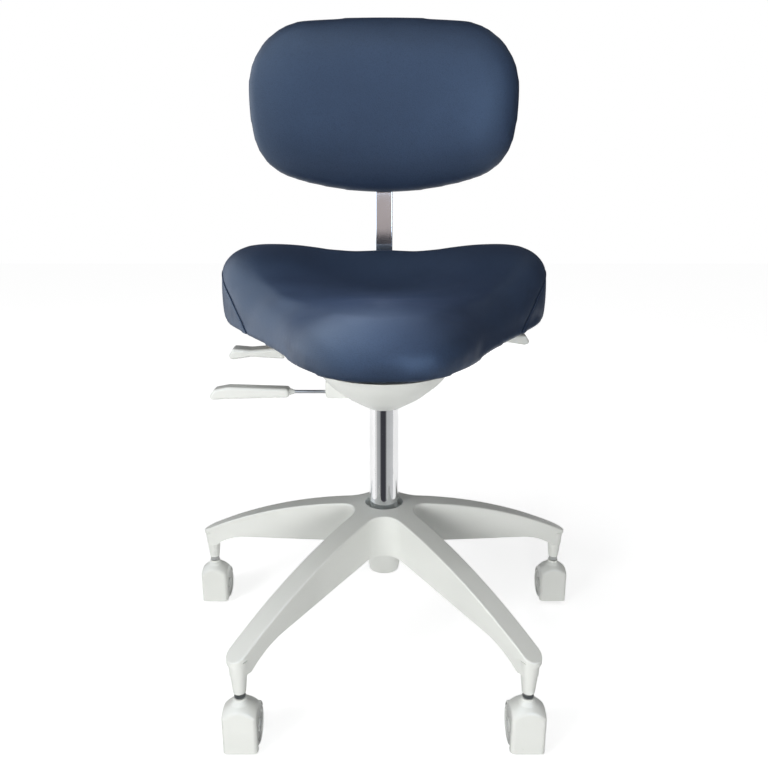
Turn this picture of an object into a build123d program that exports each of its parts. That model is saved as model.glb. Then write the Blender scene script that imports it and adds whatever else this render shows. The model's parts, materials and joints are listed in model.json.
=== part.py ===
from build123d import *
import os
from math import asin, cos, degrees, hypot, radians, sin

# A saddle-seat operator's stool on a five-arm base, in millimetres.
# The origin is on the floor on the column's axis, +Z is up and the sitter faces -Y.

# Play and gaps
running_play = 0.05
press_play = 0.02
seat_gap = 0.3
loose_gap = 0.8

# Casters
wheel_radius = 22.5
wheel_width = 12.5
wheel_round = 3.0
wheel_dish_depth = 2.0
wheel_dish_inner = 8.0
wheel_rim = 5.0
caster_web = 12.0
wheel_side_gap = 1.0
hood_side_cover = 0.5
hood_gap = 1.5
hood_wall = 2.5
hood_round = 1.5
hood_corner_round = 5.0
hood_lip_height = 6.0
hood_rear_angle = 20.0
hood_roof_rise = 15.0
hood_shoulder_radius = 18.5
hood_shoulder_drop = 5.5
hood_dome_drop = 18.0
caster_trail = 11.0
axle_diameter = 8.0
axle_boss_wall = 4.0
axle_end_recess = 1.0
neck_radius = 7.5
neck_flare = 4.0
neck_rise = 7.0
stem_diameter = 10.0
stem_insert = 30.0
stem_collar_radius = 6.4
stem_collar = 6.0
journal_diameter = 8.0
journal_length = 24.0
swivel_gap = 0.8

# Star base
arm_count = 5
stem_circle = 280.0
arm_root_width = 32.0
arm_tip_width = 26.0
arm_fillet = 26.0
flange_thickness = 6.0
flange_overhang = 2.5
flange_round = 2.0
hub_rise = 131.0
arm_mid_radius = 150.0
arm_mid_rise = 105.0
arm_tip_rise = 45.0
web_root_radius = 45.0
web_root_rise = 69.0
web_end_inset = 62.0
web_end_rise = 46.5
gusset_inset = 9.8
gusset_rise = 24.0
socket_radius = 7.4
socket_inset = 1.2
mouth_radius = 26.5
mouth_depth = 12.0
hub_floor_rise = 30.0
hub_wall = 3.8
hub_flare = 6.0
pocket_wall = 3.5
pocket_skin = 4.0
pocket_count = 5
pocket_start = 52.0
pocket_end_inset = 34.0
rib_thickness = 3.0

# Gas lift
column_radius = 20.0
column_wall = 2.2
column_exposed = 153.0
taper_step = 1.4
taper_run = 1.4
column_recess = 6.0
column_plate = 4.0
bush_length = 85.0
bush_collar = 4.0
washer_radius = 13.0
washer_thickness = 2.0
ball_diameter = 4.0
ball_count = 8
cage_thickness = 1.6
bump_radius = 11.0
bump_height = 12.0
rod_radius = 5.0
tail_radius = 4.0
clip_thickness = 1.5
clip_radius = 7.0
clip_mouth = 6.0
tube_radius = 14.0
tube_wall = 2.0
tube_cap = 12.0
guide_height = 16.0
piston_height = 12.0
piston_drop = 18.0
rod_tip = 2.0
pin_radius = 3.0
pin_inside = 6.0

# Mechanism under the seat
lift_gap = 6.0
boss_drop = 14.2
boss_radius = 23.0
boss_rise = 9.0
mech_half_width = 60.0
mech_front = 60.0
mech_rear = 95.0
mech_floor = 4.0
mech_wall = 4.0
mech_height = 30.0
mech_corner = 30.0
lever_axis_rise = 19.0
lever_axis_x = 40.0
lug_thickness = 4.0
lug_radius = 6.0
floor_notch_margin = 3.0

# Bowl cover
bowl_wall = 2.5
bowl_mouth_gap = 1.8
bowl_lip = 2.0
bowl_knee_radius = 48.5
bowl_knee_rise = 14.0
bowl_shoulder_radius = 77.0
bowl_rim_radius = 88.0
bowl_rim_rise = 16.0
bowl_knee_round = 80.0
bowl_depth = 37.0
snout_proud = 1.0
snout_half_width = 11.0
snout_wall = 3.0
bowl_screw_x = 40.0
bowl_screw_y = 33.0
bowl_screw_diameter = 4.0
bowl_screw_head = 4.0
bowl_screw_grip = 12.0
bowl_boss_radius = 7.0

# Height lever
lever_rod_radius = 2.5
lever_drop = 36.0
lever_run = 20.0
lever_bend = 8.0
lever_tail = 2.0
lever_sleeve_wall = 2.0
lever_throw = 6.0
height_lever_exposed = 49.0
height_grip_length = 112.0
height_grip_depth = 22.0
height_grip_thickness = 14.4
height_grip_hump = 1.6
height_grip_sag = 10.0
height_grip_crest = 30.0
height_grip_shoulder = 12.0
height_grip_heel = 26.0
height_grip_nose = 7.0
grip_nose_step = 2.0
grip_nose_taper = 20.0
grip_swell = 1.0
grip_hold = 23.0
grip_round = 4.0
grip_corner = 4.5

# Saddle seat, in its own tilted frame
seat_tilt = 5.0
seat_rise = 59.6
seat_pivot_y = 30.0
seat_pivot_rise = 16.0
seat_pivot_radius = 5.0
pan_thickness = 10.0
pan_inset = 30.0
plate_thickness = 3.0
plate_margin = 5.0
flange_gap = 2.0
flange_plate = 3.0
flange_half_length = 30.0
flange_nose = 10.0
bolt_x = 50.0
bolt_y = 52.0
bolt_radius = 4.0
bolt_head_radius = 6.5
bolt_head = 4.5
bolt_bite = 8.0

seat_half_width = 230.0
seat_nose = 190.0
seat_rear = 168.0
wing_height = 99.0
side_tuck = 2.0
side_bulge = 3.0

# Lock levers on the seat plate
lock_lever_x = 88.0
lock_lever_drop = 37.5
lock_lever_exposed = 50.0
lock_grip_length = 81.0
tilt_lever_y = 50.0
back_lever_y = 120.0
lock_rod_radius = 3.2
lock_hub_radius = 7.0
lock_hub_width = 7.4
lock_tail = 10.0
lock_grip_depth = 24.0
lock_grip_thickness = 16.0
lock_grip_waist = 3.0
lock_grip_waist_back = 33.0
lock_grip_shoulder = 9.0
lug_plate = 3.0

# Back bar and its hinge
recline_y = 75.0
recline_rise = 18.0
recline_pin_radius = 5.0
hinge_nose = 10.0
hinge_half_width = 20.0
hinge_length = 37.0
cheek = 5.5
bar_half_width = 13.0
bar_thickness = 8.0
bar_bend = 40.0
bar_gap = 27.0
bar_above = 85.0
bar_round = 1.5
bar_socket = 26.0
hinge_screw_radius = 2.5
hinge_screw_head_radius = 4.5
hinge_screw_head = 2.0
hinge_screw_bite = 5.0
hinge_screw_pitch = 11.0

# Backrest
back_gap = 83.0
back_half_width = 190.0
back_half_height = 116.0
back_depth = 48.0
back_top_bow = 10.0
back_bottom_bow = 36.0
back_side_bow = 14.0
back_top_round = 90.0
back_bottom_round = 75.0
back_crown_inset = 85.0
shell_thickness = 8.0
shell_inset = 9.0
shell_bevel = 4.0
hinge_gap = 13.0
hinge_lug_radius = 8.0
hinge_lug_half = 9.0
hinge_ear = 6.0
hinge_pin_radius = 4.0
carriage_wall = 5.0
carriage_half_width = 22.0
carriage_half_height = 30.0
carriage_back = 7.0
carriage_round = 4.0
knob_radius = 18.0
knob_height = 18.0
knob_lobes = 6
knob_scallop = 6.0
knob_round = 2.0
knob_stem_radius = 4.0
shell_screw_side = 71.0
shell_screw_end = 61.0
shell_screw_radius = 2.5
shell_screw_head_radius = 4.5
shell_screw_head = 2.0

# Heights that follow from the sizes above
hood_inner = wheel_radius + hood_gap
hood_outer = hood_inner + hood_wall
hood_half_width = caster_web / 2 + wheel_side_gap + wheel_width + hood_side_cover
hood_roof = wheel_radius + hood_outer + hood_roof_rise
neck_top = hood_roof + neck_rise
collar_floor = neck_top + swivel_gap
socket_floor = collar_floor + stem_collar
journal_floor = collar_floor - journal_length

hub_top = socket_floor + hub_rise
hub_floor = socket_floor + hub_floor_rise
arm_mid = socket_floor + arm_mid_rise
arm_tip = socket_floor + arm_tip_rise
tip_reach = stem_circle + arm_tip_width / 2

taper_top = hub_top - mouth_depth
column_floor = hub_floor + column_recess
column_top = hub_top + column_exposed
taper_top_radius = column_radius - taper_step
taper_floor_radius = taper_top_radius - taper_run
washer_floor = column_floor + column_plate
ball_floor = washer_floor + washer_thickness
upper_washer_floor = ball_floor + ball_diameter + 2 * running_play
rod_shoulder = upper_washer_floor + washer_thickness
tube_floor = rod_shoulder + bump_height + seat_gap

boss_floor = column_top + bush_collar + lift_gap
mech_base = boss_floor + boss_drop
boss_top = mech_base + boss_rise
tube_roof = boss_top - tube_cap
piston_top = tube_roof - piston_drop
lever_axis_z = mech_base + lever_axis_rise
lever_rod_z = lever_axis_z - lever_drop
lever_knee = lever_axis_x + lever_run
snout_reach = bowl_shoulder_radius + snout_proud
height_grip_start = snout_reach + height_lever_exposed
pin_top = lever_axis_z - lever_rod_radius - seat_gap

seat_level = mech_base + seat_rise
seat_frame = Location((0, 0, seat_level), (seat_tilt, 0, 0))
seat_pivot_z = mech_base + seat_pivot_rise
recline_z = mech_base + recline_rise
lock_grip_start = lock_lever_x + lock_lever_exposed
back_z = seat_level + wing_height + back_gap + back_half_height
bar_front = seat_rear + bar_gap
bar_back = bar_front + bar_thickness
carriage_front = bar_front - carriage_wall
back_hinge_y = carriage_front - hinge_lug_radius - loose_gap
shell_back = back_hinge_y - hinge_gap
shell_front = shell_back - shell_thickness

arm_angles = [90 + 360 / arm_count * i for i in range(arm_count)]
caster_names = ["rear", "left", "front_left", "front_right", "right"]


# Shared helpers

def face_of(*edges):
    return make_face(Curve() + list(edges))


def ring_profile(points):
    """A closed profile of (radius, height) points on the XZ plane."""
    return Plane.XZ * make_face(Polyline(*points, close=True))


def turned(points):
    return revolve(ring_profile(points), Axis.Z)


def rod(radius, low, high):
    return Pos(0, 0, low) * extrude(Circle(radius), high - low)


def tube(outer, inner, low, high):
    return Pos(0, 0, low) * extrude(Circle(outer) - Circle(inner), high - low)


def cross_rod(radius, start, end, y, z):
    """A round bar along X."""
    return Pos(start, y, z) * Rot(0, 90, 0) * extrude(Circle(radius), end - start)


def depth_rod(radius, start, end, x, z):
    """A round bar along Y."""
    return Pos(x, start, z) * Rot(-90, 0, 0) * extrude(Circle(radius), end - start)


def block(x0, x1, y0, y1, z0, z1):
    return Pos((x0 + x1) / 2, (y0 + y1) / 2, (z0 + z1) / 2) * Box(x1 - x0, y1 - y0, z1 - z0)


def both_sides(shape):
    return shape + mirror(shape, about=Plane.YZ)


# Casters, modelled at the origin with the stem's axis on Z

def caster_place(angle):
    return Pos(stem_circle * cos(radians(angle)), stem_circle * sin(radians(angle)), 0)


def hood_bell():
    """The front of the hood: upright walls under a dome and neck about the stem, with soft corners."""
    front = caster_trail - hood_outer - hood_round
    reach = hypot(hood_half_width, front) + hood_round
    side = hood_roof - hood_dome_drop
    dome = ThreePointArc((neck_radius + neck_flare, hood_roof),
                         (hood_shoulder_radius, hood_roof - hood_shoulder_drop), (reach, side))
    neck = Polyline(dome @ 0, (neck_radius, hood_roof + neck_flare), (neck_radius, neck_top),
                    (0, neck_top), (0, 0), (reach, 0), dome @ 1)
    walls = block(-hood_half_width, hood_half_width, front, reach, hood_lip_height, neck_top)
    bell = walls & revolve(Plane.XZ * face_of(dome, *neck.edges()), Axis.Z)
    low = hood_lip_height + hood_wall
    high = hood_roof - hood_wall / 2
    soft = [edge for edge in bell.edges()
            if low < edge.center().Z < high and edge.center().Y < caster_trail]
    return fillet(soft, hood_corner_round)


def hood_opening():
    """The wedge between the front lip and the rear edge, where the wheels come out."""
    lip = degrees(asin((wheel_radius - hood_lip_height) / hood_outer))
    reach = 2 * hood_outer
    centre = (caster_trail, wheel_radius)
    wedge = CenterArc(centre, reach, 180 + lip, 180 - lip + hood_rear_angle)
    face = face_of(wedge, Line(wedge @ 1, centre), Line(centre, wedge @ 0))
    return extrude(Plane.YZ * face, hood_half_width, both=True)


def caster_hood():
    half_web = caster_web / 2
    half_barrel = hood_half_width - hood_round
    barrel = cross_rod(hood_outer, -half_barrel, half_barrel, caster_trail, wheel_radius)
    body = fillet(barrel.faces().filter_by(Axis.X).edges(), hood_round) + hood_bell()
    boss_radius_x = axle_diameter / 2 + axle_boss_wall
    boss = cross_rod(boss_radius_x, -half_web, half_web, caster_trail, wheel_radius)
    well = cross_rod(hood_inner, half_web, hood_half_width, caster_trail, wheel_radius)
    body = body - hood_opening() - both_sides(well) + boss
    body -= rod(journal_diameter / 2 + running_play, journal_floor - loose_gap, neck_top)
    axle_bore = axle_diameter / 2 + press_play
    return body - cross_rod(axle_bore, -half_web, half_web, caster_trail, wheel_radius)


def caster_axle():
    end = caster_web / 2 + wheel_side_gap + wheel_width - axle_end_recess
    return cross_rod(axle_diameter / 2, -end, end, caster_trail, wheel_radius)


def caster_wheel(side):
    near = caster_web / 2 + wheel_side_gap
    far = near + wheel_width
    bore = axle_diameter / 2 + running_play
    solid = fillet(Cylinder(wheel_radius, wheel_width).edges(), wheel_round)
    dish = extrude(Circle(wheel_radius - wheel_rim) - Circle(wheel_dish_inner), wheel_dish_depth)
    solid -= Pos(0, 0, wheel_width / 2 - wheel_dish_depth) * dish
    solid -= Cylinder(bore, wheel_width)
    placed = Pos((near + far) / 2, caster_trail, wheel_radius) * Rot(0, 90, 0) * solid
    return placed if side > 0 else mirror(placed, about=Plane.YZ)


def caster_stem():
    stem = rod(stem_diameter / 2, socket_floor, socket_floor + stem_insert)
    collar = rod(stem_collar_radius, collar_floor, socket_floor)
    return stem + collar + rod(journal_diameter / 2, journal_floor, collar_floor)


def caster_stems():
    return Compound([caster_place(a) * caster_stem() for a in arm_angles])


# Star base

def star_plan(narrower):
    """The star seen from above, with each side of every arm drawn in by narrower."""
    root = arm_root_width / 2 - narrower
    tip = arm_tip_width / 2 - narrower
    arm = make_face(Polyline((0, -root), (stem_circle, -tip), (stem_circle, tip), (0, root),
                             close=True))
    arm += Pos(stem_circle, 0) * Circle(tip)
    plan = Sketch()
    for angle in arm_angles:
        plan += Rot(0, 0, angle) * arm
    notches = plan.vertices().sort_by(SortBy.DISTANCE)[:arm_count]
    return fillet(notches, arm_fillet + narrower)


def top_arc(drop):
    """The arched top line of an arm, lowered by drop."""
    return ThreePointArc((mouth_radius, hub_top - drop), (arm_mid_radius, arm_mid - drop),
                         (tip_reach, arm_tip - drop))


def flange_band():
    top = top_arc(0)
    under = top_arc(flange_thickness)
    face = face_of(Line((0, hub_top), top @ 0), top, Line(top @ 1, under @ 1), under,
                   Line(under @ 0, (0, hub_top - flange_thickness)),
                   Line((0, hub_top - flange_thickness), (0, hub_top)))
    return revolve(Plane.XZ * face, Axis.Z)


def web_band():
    top = top_arc(flange_thickness / 2)
    root = (web_root_radius, socket_floor + web_root_rise)
    end = (stem_circle - web_end_inset, socket_floor + web_end_rise)
    slope = Line(root, end)
    gusset_end = (stem_circle - gusset_inset, socket_floor + gusset_rise)
    gusset = TangentArc(end, gusset_end, tangent=slope % 1)
    low_tip = (tip_reach, socket_floor + gusset_rise)
    start = (0, socket_floor + web_root_rise)
    roof = (0, hub_top - flange_thickness / 2)
    face = face_of(Line(roof, top @ 0), top, Line(top @ 1, low_tip), Line(low_tip, gusset_end),
                   gusset, slope, Line(root, start), Line(start, roof))
    return revolve(Plane.XZ * face, Axis.Z)


def underside_pockets():
    under = top_arc(flange_thickness + pocket_skin)
    floor = socket_floor
    face = face_of(under, Line(under @ 1, (tip_reach, floor)),
                   Line((tip_reach, floor), (mouth_radius, floor)),
                   Line((mouth_radius, floor), under @ 0))
    room = revolve(Plane.XZ * face, Axis.Z)
    pocket_end = stem_circle - pocket_end_inset
    pitch = (pocket_end - pocket_start + rib_thickness) / pocket_count
    rings = Sketch()
    for i in range(pocket_count):
        start = pocket_start + pitch * i
        rings += Circle(start + pitch - rib_thickness) - Circle(start)
    plan = star_plan(flange_overhang + pocket_wall) & rings
    return extrude(plan, hub_top) & room


def base_star():
    flange = extrude(star_plan(0), hub_top) & flange_band()
    crown = flange.faces().filter_by(GeomType.REVOLUTION).sort_by(Axis.Z)[-1]
    flange = fillet(crown.edges(), flange_round)
    web = extrude(star_plan(flange_overhang), hub_top) & web_band()
    hub_foot = taper_floor_radius + hub_wall
    hub_side = hub_foot + hub_flare
    hub_mid = socket_floor + web_root_rise
    hub_roof = hub_top - flange_thickness
    hub = turned([(0, hub_floor), (hub_foot, hub_floor), (hub_side, hub_mid), (hub_side, hub_roof),
                  (0, hub_roof)])
    socket_top = arm_tip - flange_thickness / 2
    socket = turned([(0, socket_floor), (socket_radius, socket_floor),
                     (arm_tip_width / 2 - socket_inset, socket_top), (0, socket_top)])
    stem_bore = rod(stem_diameter / 2 + press_play, socket_floor, socket_floor + stem_insert)
    sockets = [caster_place(angle) * socket for angle in arm_angles]
    bores = [caster_place(angle) * stem_bore for angle in arm_angles]
    mouth = rod(mouth_radius, taper_top, hub_top)
    taper = turned([(0, hub_floor), (taper_radius(hub_floor) + press_play, hub_floor),
                    (taper_top_radius + press_play, taper_top), (0, taper_top)])
    ribbed = (web + hub) - underside_pockets()
    return flange.fuse(ribbed, *sockets).cut(mouth, taper, *bores)


# Gas lift

def taper_radius(height):
    share = (height - column_floor) / (taper_top - column_floor)
    return taper_floor_radius + taper_run * share


def column_tube():
    inner_top = column_radius - column_wall
    inner_taper = taper_top_radius - column_wall
    inner_floor = taper_floor_radius - column_wall
    hole = tail_radius + loose_gap
    return turned([(hole, column_floor), (taper_floor_radius, column_floor),
                   (taper_top_radius, taper_top), (column_radius, taper_top),
                   (column_radius, column_top), (inner_top, column_top),
                   (inner_top, taper_top + taper_step), (inner_taper, taper_top),
                   (inner_floor, washer_floor), (hole, washer_floor)])


def guide_bush():
    outer = column_radius - column_wall - press_play
    inner = tube_radius + running_play
    sleeve = tube(outer, inner, column_top - bush_length, column_top)
    return sleeve + tube(column_radius - loose_gap, inner, column_top, column_top + bush_collar)


def lower_bearing_washer():
    return tube(washer_radius, tail_radius + loose_gap, washer_floor, ball_floor)


def thrust_bearing():
    middle = ball_floor + running_play + ball_diameter / 2
    inner = tail_radius + loose_gap
    cage = tube(washer_radius, inner, middle - cage_thickness / 2, middle + cage_thickness / 2)
    track = (washer_radius + inner) / 2
    for i in range(ball_count):
        cage += Rot(0, 0, 360 / ball_count * i) * Pos(track, 0, middle) * Sphere(ball_diameter / 2)
    return cage


def upper_bearing_washer():
    return tube(washer_radius, tail_radius + press_play, upper_washer_floor, rod_shoulder)


def bump_stop():
    return tube(bump_radius, rod_radius + press_play, rod_shoulder, rod_shoulder + bump_height)


def piston_rod():
    shaft = rod(rod_radius, rod_shoulder, piston_top + rod_tip)
    tail_floor = column_floor - seat_gap - clip_thickness - loose_gap
    return shaft + rod(tail_radius, tail_floor, rod_shoulder)


def retaining_clip():
    top = column_floor - seat_gap
    ring = tube(clip_radius, tail_radius + press_play, top - clip_thickness, top)
    return ring - block(-clip_mouth / 2, clip_mouth / 2, 0, clip_radius, top - clip_thickness, top)


def piston():
    outer = tube_radius - tube_wall - running_play
    return tube(outer, rod_radius + press_play, piston_top - piston_height, piston_top)


def pressure_tube():
    body = tube(tube_radius, tube_radius - tube_wall, tube_floor, tube_roof)
    return body + tube(tube_radius, pin_radius + running_play, tube_roof, boss_top)


def rod_guide():
    outer = tube_radius - tube_wall - press_play
    return tube(outer, rod_radius + running_play, tube_floor, tube_floor + guide_height)


def release_pin():
    return rod(pin_radius, tube_roof - pin_inside, pin_top)


# Mechanism

def tray_plan(inset):
    """The tray seen from above, drawn in by inset at the front and sides; its front corners are round."""
    half = mech_half_width - inset
    front = inset - mech_front
    plan = make_face(Polyline((-half, front), (half, front), (half, mech_rear), (-half, mech_rear),
                              close=True))
    return fillet(plan.vertices().sort_by(Axis.Y)[:2], mech_corner - inset)


def mechanism_body():
    tray = Pos(0, 0, mech_base) * extrude(tray_plan(0), mech_height)
    tray -= Pos(0, 0, mech_base + mech_floor) * extrude(tray_plan(mech_wall), mech_height)
    body = tray + rod(boss_radius, boss_floor, boss_top)
    body -= rod(tube_radius + press_play, boss_floor, boss_top)

    notch = hinge_half_width + floor_notch_margin
    body -= block(-notch, notch, recline_y - hinge_nose - floor_notch_margin, mech_rear,
                  mech_base, mech_base + mech_floor)
    cheek_start = hinge_half_width + seat_gap
    cheek_half = block(cheek_start, cheek_start + cheek, recline_y - 2 * hinge_nose, mech_rear,
                       mech_base, mech_base + mech_height)
    body += both_sides(cheek_half)
    lug_y = lever_rod_radius + lever_sleeve_wall + running_play
    lug_inner = lug_y + seat_gap
    lug = depth_rod(lug_radius, lug_inner, lug_inner + lug_thickness, -lever_axis_x, lever_axis_z)
    lug += block(-lever_axis_x - lug_radius, -lever_axis_x + lug_radius, lug_inner,
                 lug_inner + lug_thickness, mech_base, lever_axis_z)
    body += lug + mirror(lug, about=Plane.XZ)
    slot_half = lever_rod_radius + loose_gap
    body -= block(-lever_knee + lever_rod_radius, -lever_axis_x - lug_radius / 2, -slot_half,
                  slot_half, mech_base, mech_base + mech_floor)

    seat_bore = seat_pivot_radius + running_play
    body -= cross_rod(seat_bore, -mech_half_width, mech_half_width, -seat_pivot_y, seat_pivot_z)
    pin_end = cheek_start + cheek
    body -= cross_rod(recline_pin_radius + press_play, -pin_end, pin_end, recline_y, recline_z)
    lug_end = lug_inner + lug_thickness
    body -= depth_rod(pin_radius + press_play, -lug_end, lug_end, -lever_axis_x, lever_axis_z)
    for x in (-bowl_screw_x, bowl_screw_x):
        body -= Pos(x, bowl_screw_y, 0) * rod(bowl_screw_diameter / 2 + press_play, mech_base,
                                              mech_base + mech_floor)
    return body


def mechanism_pins():
    """The pin of the back bar's hinge and the pin of the height lever."""
    pin_end = hinge_half_width + seat_gap + cheek
    recline = cross_rod(recline_pin_radius, -pin_end, pin_end, recline_y, recline_z)
    lug_end = lever_rod_radius + lever_sleeve_wall + running_play + seat_gap + lug_thickness
    lever = depth_rod(pin_radius, -lug_end, lug_end, -lever_axis_x, lever_axis_z)
    return Compound([recline, lever])


# Bowl cover

def bowl_section(points, inner):
    """Half of a turned bowl; its knee and shoulder, the second and third points, are rounded."""
    face = make_face(Polyline(*points, *inner, close=True))
    soft = [face.vertices().sort_by_distance(point)[0] for point in points[1:3]]
    return revolve(Plane.XZ * fillet(soft, bowl_knee_round), Axis.Z)


def bowl_cover():
    mouth = column_radius + bowl_mouth_gap
    floor = mech_base - bowl_depth
    knee = floor + bowl_knee_rise
    rim = mech_base + bowl_rim_rise
    outer = [(mouth + bowl_lip, floor), (bowl_knee_radius, knee), (bowl_shoulder_radius, mech_base),
             (bowl_rim_radius, rim)]
    lining = [(bowl_rim_radius - bowl_wall, rim), (bowl_shoulder_radius - bowl_wall, mech_base),
              (bowl_knee_radius - bowl_wall, knee + bowl_wall), (mouth + bowl_lip, floor + bowl_wall),
              (mouth, floor + bowl_wall)]
    shell = bowl_section(outer, [*lining, (mouth, floor)])
    filled = bowl_section(outer, [(0, rim), (0, floor)])
    room = turned([*lining, (mouth, floor), (0, floor), (0, rim)])
    slot_half = lever_rod_radius + loose_gap
    slot_low = lever_rod_z - slot_half
    slot_high = lever_rod_z + slot_half + sin(radians(lever_throw)) * snout_reach / 2
    snout = block(-snout_reach, -bowl_knee_radius, -snout_half_width, snout_half_width,
                  slot_low - snout_wall, mech_base)
    foot = snout.edges().filter_by(Axis.Y).group_by(Axis.Z)[0].sort_by(Axis.X)[0]
    snout = chamfer(foot, snout_wall)
    slot = block(-snout_reach, -bowl_knee_radius / 2, -slot_half, slot_half, slot_low, slot_high)
    knee_room = lever_rod_radius + sin(radians(lever_throw)) * lever_drop / 2
    slot += block(-lever_knee - knee_room, -bowl_knee_radius / 2, -slot_half, slot_half,
                  slot_low, mech_base)
    head_seat = mech_base - bowl_screw_grip
    boss = rod(bowl_boss_radius, knee, mech_base)
    hole = rod(bowl_screw_diameter / 2 + press_play, floor, mech_base)
    hole += rod(bowl_screw_head + seat_gap, floor, head_seat)
    bosses = [Pos(x, bowl_screw_y, 0) * boss for x in (-bowl_screw_x, bowl_screw_x)]
    holes = [Pos(x, bowl_screw_y, 0) * hole for x in (-bowl_screw_x, bowl_screw_x)]
    tray_half = mech_half_width + loose_gap
    rear_notch = block(-tray_half, tray_half, 0, bowl_rim_radius, mech_base, rim)
    bowl = shell + (snout - room)
    bowl += bosses[0] & filled
    bowl += bosses[1] & filled
    return bowl - slot - holes[0] - holes[1] - rear_notch


def bowl_screws():
    head_seat = mech_base - bowl_screw_grip
    screw = rod(bowl_screw_diameter / 2, head_seat, mech_base + mech_floor)
    screw += rod(bowl_screw_head, head_seat - bowl_screw_head / 2, head_seat)
    return Compound([Pos(x, bowl_screw_y, 0) * screw for x in (-bowl_screw_x, bowl_screw_x)])


# Height lever

def height_lever_rod():
    grip_end = -height_grip_start - grip_hold
    path = FilletPolyline((grip_end, 0, lever_rod_z), (-lever_knee, 0, lever_rod_z),
                          (-lever_axis_x, 0, lever_axis_z), (lever_tail, 0, lever_axis_z),
                          radius=lever_bend)
    section = Plane(origin=path @ 0, z_dir=path % 0) * Circle(lever_rod_radius)
    bar = sweep(section, path=path)
    half = lever_rod_radius + lever_sleeve_wall
    sleeve_radius = pin_radius + running_play + lever_sleeve_wall
    bar += depth_rod(sleeve_radius, -half, half, -lever_axis_x, lever_axis_z)
    return bar - depth_rod(pin_radius + running_play, -half, half, -lever_axis_x, lever_axis_z)


def soft_grip(points, corner, depth):
    """A moulded grip: an outline in the XZ plane, rounded and given its depth along Y."""
    face = make_face(Polyline(*points, close=True))
    face = fillet(face.vertices(), corner)
    body = extrude(Plane.XZ * face, depth / 2, both=True)
    ends = body.faces().filter_by(Axis.Y)
    return fillet(ends.edges(), grip_round)


def height_lever_grip():
    half = height_grip_thickness / 2
    tip = -height_grip_start - height_grip_length
    outline = [(-height_grip_start, half - grip_swell),
               (tip + height_grip_crest, half + height_grip_hump),
               (tip + height_grip_shoulder, half - 2 * grip_swell), (tip, -height_grip_sag),
               (tip + height_grip_heel, -half - grip_swell), (-height_grip_start, grip_swell - half)]
    body = Pos(0, 0, lever_rod_z) * soft_grip(outline, grip_corner, height_grip_depth)
    nose = Pos(-height_grip_start, 0, lever_rod_z) * Rot(0, 90, 0) * extrude(
        Circle(half - grip_nose_step), height_grip_nose, taper=grip_nose_taper)
    bore_end = -height_grip_start - grip_hold
    body += nose
    return body - cross_rod(lever_rod_radius + press_play, bore_end,
                            -height_grip_start + height_grip_nose, 0, lever_rod_z)


# Saddle seat, built flat and then laid in its tilted frame

# Each row is one cross-section from the cantle to the nose. The first number is its place along
# the seat, as a share of the rear or nose reach. The others are shares of the half width (outer
# half, crest) and of the wing height (side edge, crest, centre), and the bend of the top line.
saddle_rows = [
    (1.00, 0.73, 0.70, 0.48, 0.67, 0.63, 0.50),
    (0.97, 0.82, 0.75, 0.63, 0.85, 0.79, 0.50),
    (0.89, 0.91, 0.79, 0.72, 0.98, 0.89, 0.50),
    (0.74, 0.98, 0.82, 0.75, 1.00, 0.79, 0.50),
    (0.56, 1.00, 0.84, 0.71, 0.96, 0.60, 0.50),
    (0.39, 0.97, 0.85, 0.59, 0.85, 0.48, 0.48),
    (0.18, 0.90, 0.83, 0.40, 0.67, 0.45, 0.45),
    (-0.03, 0.79, 0.79, 0.25, 0.55, 0.48, 0.40),
    (-0.24, 0.67, 0.76, 0.22, 0.50, 0.54, 0.32),
    (-0.47, 0.55, 0.74, 0.22, 0.49, 0.59, 0.30),
    (-0.66, 0.47, 0.74, 0.21, 0.47, 0.58, 0.30),
    (-0.80, 0.39, 0.73, 0.20, 0.42, 0.52, 0.30),
    (-0.90, 0.305, 0.72, 0.18, 0.35, 0.43, 0.30),
    (-0.965, 0.215, 0.70, 0.14, 0.25, 0.32, 0.30),
    (-0.995, 0.13, 0.68, 0.09, 0.14, 0.19, 0.30),
]


def saddle_place(share):
    return share * (seat_rear if share > 0 else seat_nose)


def mirrored_arc(arc):
    start, middle, end = arc @ 0, arc @ 0.5, arc @ 1
    return ThreePointArc((-start.X, start.Y), (-middle.X, middle.Y), (-end.X, end.Y))


def saddle_section(row):
    along, outer_share, crest_share, edge_share, wing_share, centre_share, bend = row
    outer = outer_share * seat_half_width
    crest_x = crest_share * outer
    edge, crest, centre = [s * wing_height for s in (edge_share, wing_share, centre_share)]
    join = (crest_x / 2, centre + (crest - centre) * bend)
    middle = ThreePointArc((-join[0], join[1]), (0, centre), join)
    hollow = TangentArc(join, (crest_x, crest), tangent=middle % 1)
    shoulder = TangentArc((crest_x, crest), (outer, edge), tangent=hollow % 1)
    foot = outer - side_tuck * edge_share
    bulge = (outer + foot) / 2 + side_bulge * edge_share
    side = ThreePointArc((outer, edge), (bulge, edge / 2), (foot, 0))
    right = [hollow, shoulder, side]
    left = [mirrored_arc(arc) for arc in right]
    plane = Plane(origin=(0, saddle_place(along), 0), x_dir=(1, 0, 0), z_dir=(0, -1, 0))
    return plane * face_of(middle, *right, Line((foot, 0), (-foot, 0)), *left)


def seat_cushion():
    return seat_frame * loft([saddle_section(row) for row in saddle_rows])


def seat_bolt_places():
    return [(x, y) for x in (-bolt_x, bolt_x) for y in (-bolt_y, bolt_y)]


def seat_pan():
    rows = saddle_rows[1:-4]
    right = [(row[1] * seat_half_width - pan_inset, saddle_place(row[0])) for row in rows]
    left = [(-x, y) for x, y in reversed(right)]
    face = make_face(Polyline(*right, *left, close=True))
    pan = Pos(0, 0, -pan_thickness) * extrude(face, pan_thickness)
    hole = rod(bolt_radius + press_play, -pan_thickness, bolt_bite - pan_thickness)
    for x, y in seat_bolt_places():
        pan -= Pos(x, y, 0) * hole
    return seat_frame * pan


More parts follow.
